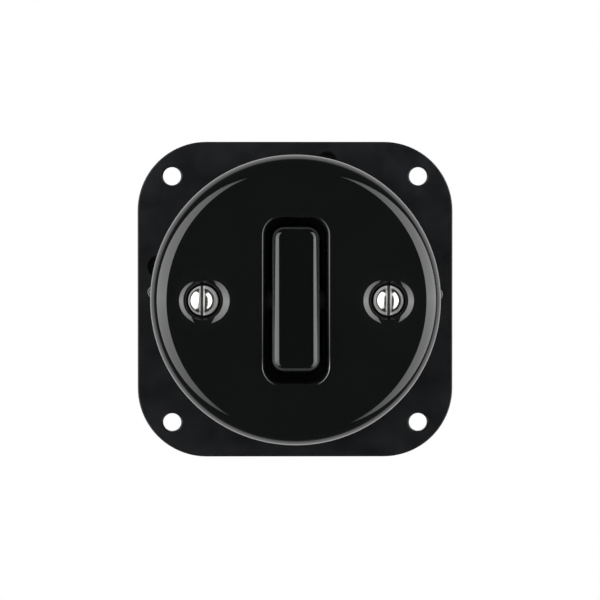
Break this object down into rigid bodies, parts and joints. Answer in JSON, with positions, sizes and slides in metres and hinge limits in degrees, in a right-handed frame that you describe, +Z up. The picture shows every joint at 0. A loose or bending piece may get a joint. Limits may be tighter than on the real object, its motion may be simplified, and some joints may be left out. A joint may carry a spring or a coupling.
{
  "type": "rocker light switch",
  "caption": "Flush wall switch with a round glazed porcelain cover and a porcelain rocker on a square moulded plate; the rocker tilts to throw a changeover contact behind the plate.",
  "frame": {"origin": "centre of the mounting plate's back face, on the wall plane", "axes": "+Y into the wall, so the front faces -Y; +X to the right seen from the front; +Z up"},
  "size_m": [0.087, 0.0463, 0.087],
  "materials": {
    "black_porcelain": "gloss",
    "plate_moulding": "satin",
    "housing_moulding": "satin",
    "lid_fibre": "matte",
    "nickel": "polished",
    "steel": "satin",
    "brass": "satin",
    "silver": "satin"
  },
  "bodies": {
    "base": {"mounting_plate": "plate_moulding", "porcelain_cover": "black_porcelain", "cover_screws": "nickel", "cover_inserts": "brass", "mechanism_housing": "housing_moulding", "housing_screws": "steel", "pivot_pin": "steel", "bridge_bracket": "brass", "bracket_rivet": "brass", "upper_fixed_tip": "silver", "lower_fixed_tip": "silver", "common_strip": "brass", "upper_strip": "brass", "lower_strip": "brass", "common_terminal": "brass", "upper_terminal": "brass", "lower_terminal": "brass", "terminal_screws": "nickel", "rear_cover": "lid_fibre", "rear_cover_screws": "steel"},
    "rocker": {"porcelain_rocker": "black_porcelain", "rocker_cradle": "housing_moulding", "plunger_spring": "steel"},
    "plunger": {"plunger": "housing_moulding"},
    "bridge": {"contact_bridge": "brass", "upper_moving_tip": "silver", "lower_moving_tip": "silver"}
  },
  "joints": [
    {"name": "rocker_tilt", "type": "hinge", "parent": "base", "child": "rocker", "pos_m": [0, -0.0105, 0], "axis": [1, 0, 0], "range_deg": [0, 8]},
    {"name": "bridge_tilt", "type": "hinge", "parent": "base", "child": "bridge", "pos_m": [0, 0.00432, 0], "axis": [1, 0, 0], "range_deg": [-18, 0]},
    {"name": "plunger_slide", "type": "slide", "parent": "rocker", "child": "plunger", "axis": [0, -0.9976, 0.0698], "range_m": [0, 0.0008], "stiffness_N_per_m": 800, "springref_m": -0.001, "deforming": ["plunger_spring"]}
  ],
  "couplings": [
    {"joint": "bridge_tilt", "follows": "rocker_tilt", "ratio": -2.25}
  ]
}
